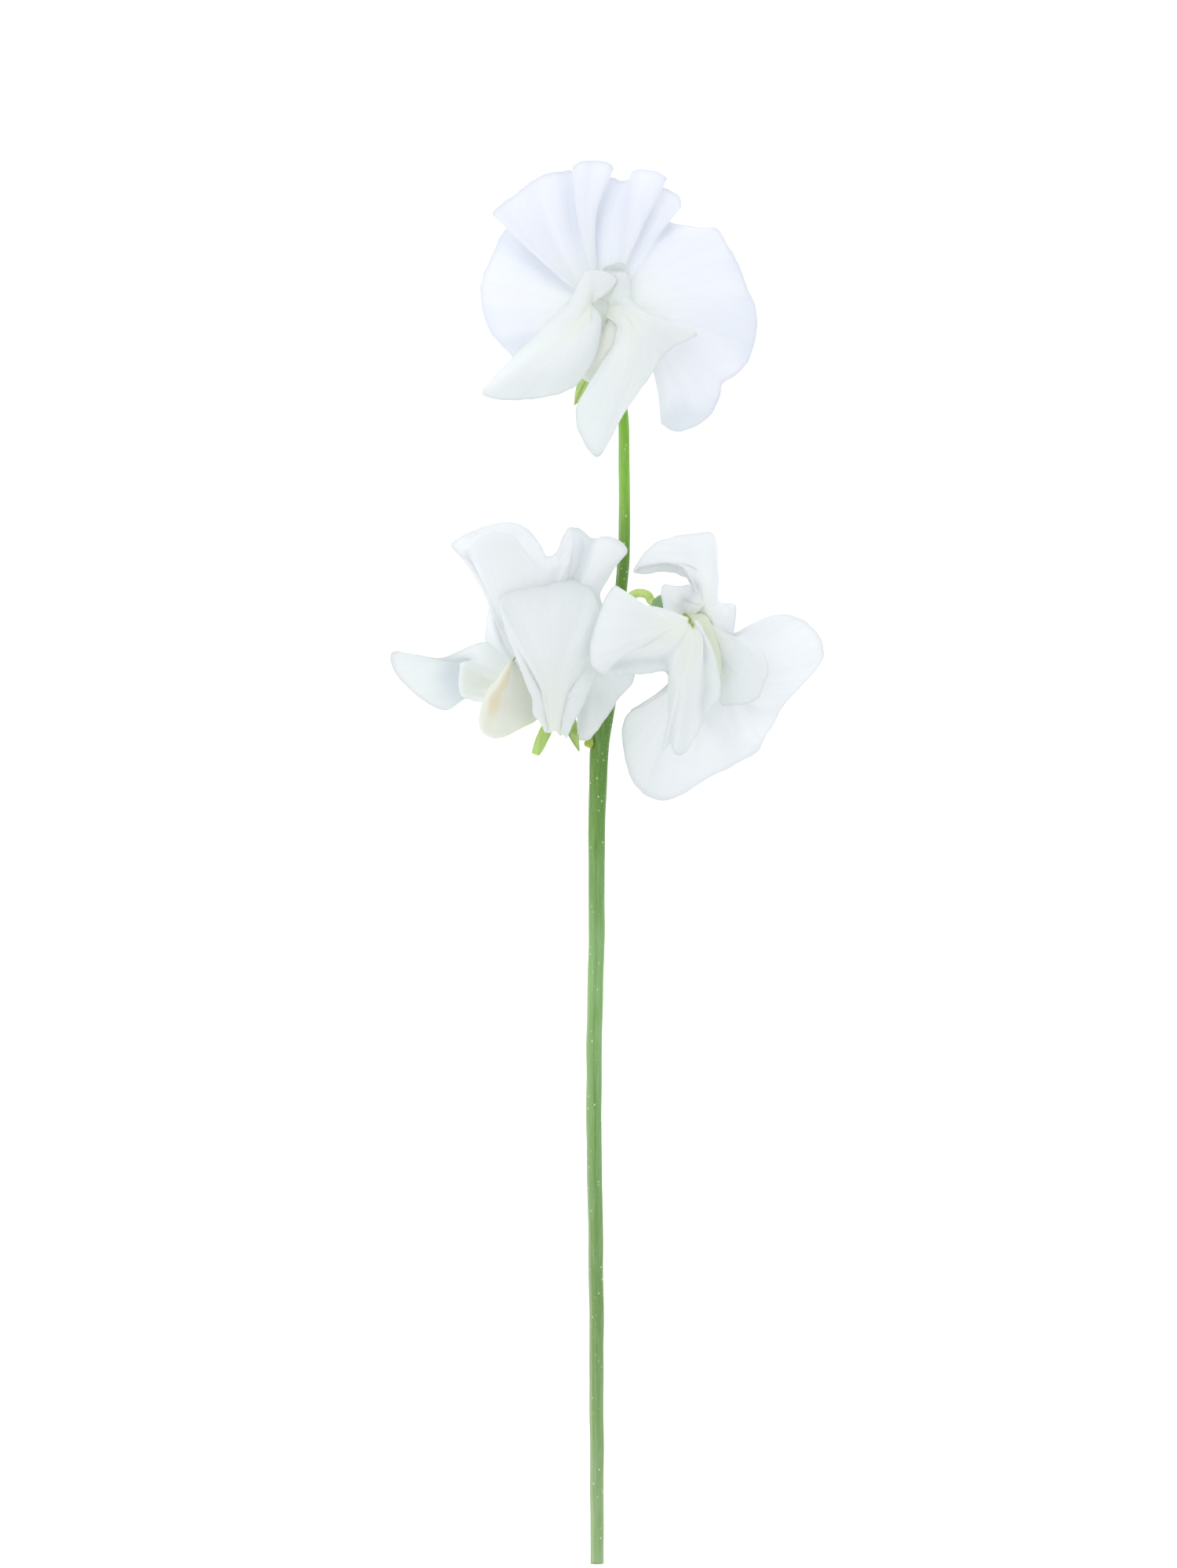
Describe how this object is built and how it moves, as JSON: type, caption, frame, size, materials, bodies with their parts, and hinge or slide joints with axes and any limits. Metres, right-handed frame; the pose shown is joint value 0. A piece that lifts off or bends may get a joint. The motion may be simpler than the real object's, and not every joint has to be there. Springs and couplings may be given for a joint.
{
  "type": "sweet pea flower",
  "caption": "Cut stem of white sweet pea: open blossoms with ruffled standard, wings and keel on short stalks, lying flat.",
  "frame": {"origin": "on the surface the stem lies on, under the middle of its bounding box", "axes": "+Y up the stem towards the top blossom, +Z away from the surface, +X to the right seen from above"},
  "size_m": [0.0688, 0.2236, 0.031],
  "materials": {
    "standard_petal": "thin, translucent, bluish white, satin, finely veined",
    "wing_petal": "translucent, faintly greenish white, satin",
    "keel_petal": "translucent, greenish cream",
    "stamen_sheath": "pale cream, semi-matt",
    "pistil": "green, semi-matt",
    "calyx_green": "light green, thin, semi-matt",
    "stem_green": "green, ribbed, finely haired, semi-matt"
  },
  "bodies": {
    "root": {"top_calyx": "calyx_green", "top_keel": "keel_petal", "top_stamens": "stamen_sheath", "top_pistil": "pistil", "top_standard": "standard_petal", "top_left_wing": "wing_petal", "top_right_wing": "wing_petal", "top_pedicel": "stem_green", "left_calyx": "calyx_green", "left_keel": "keel_petal", "left_stamens": "stamen_sheath", "left_pistil": "pistil", "left_standard": "standard_petal", "left_near_wing": "wing_petal", "left_far_wing": "wing_petal", "left_pedicel": "stem_green", "right_calyx": "calyx_green", "right_keel": "keel_petal", "right_stamens": "stamen_sheath", "right_pistil": "pistil", "right_standard": "standard_petal", "right_near_wing": "wing_petal", "right_far_wing": "wing_petal", "right_pedicel": "stem_green", "peduncle": "stem_green", "left_bract": "calyx_green"}
  },
  "joints": []
}
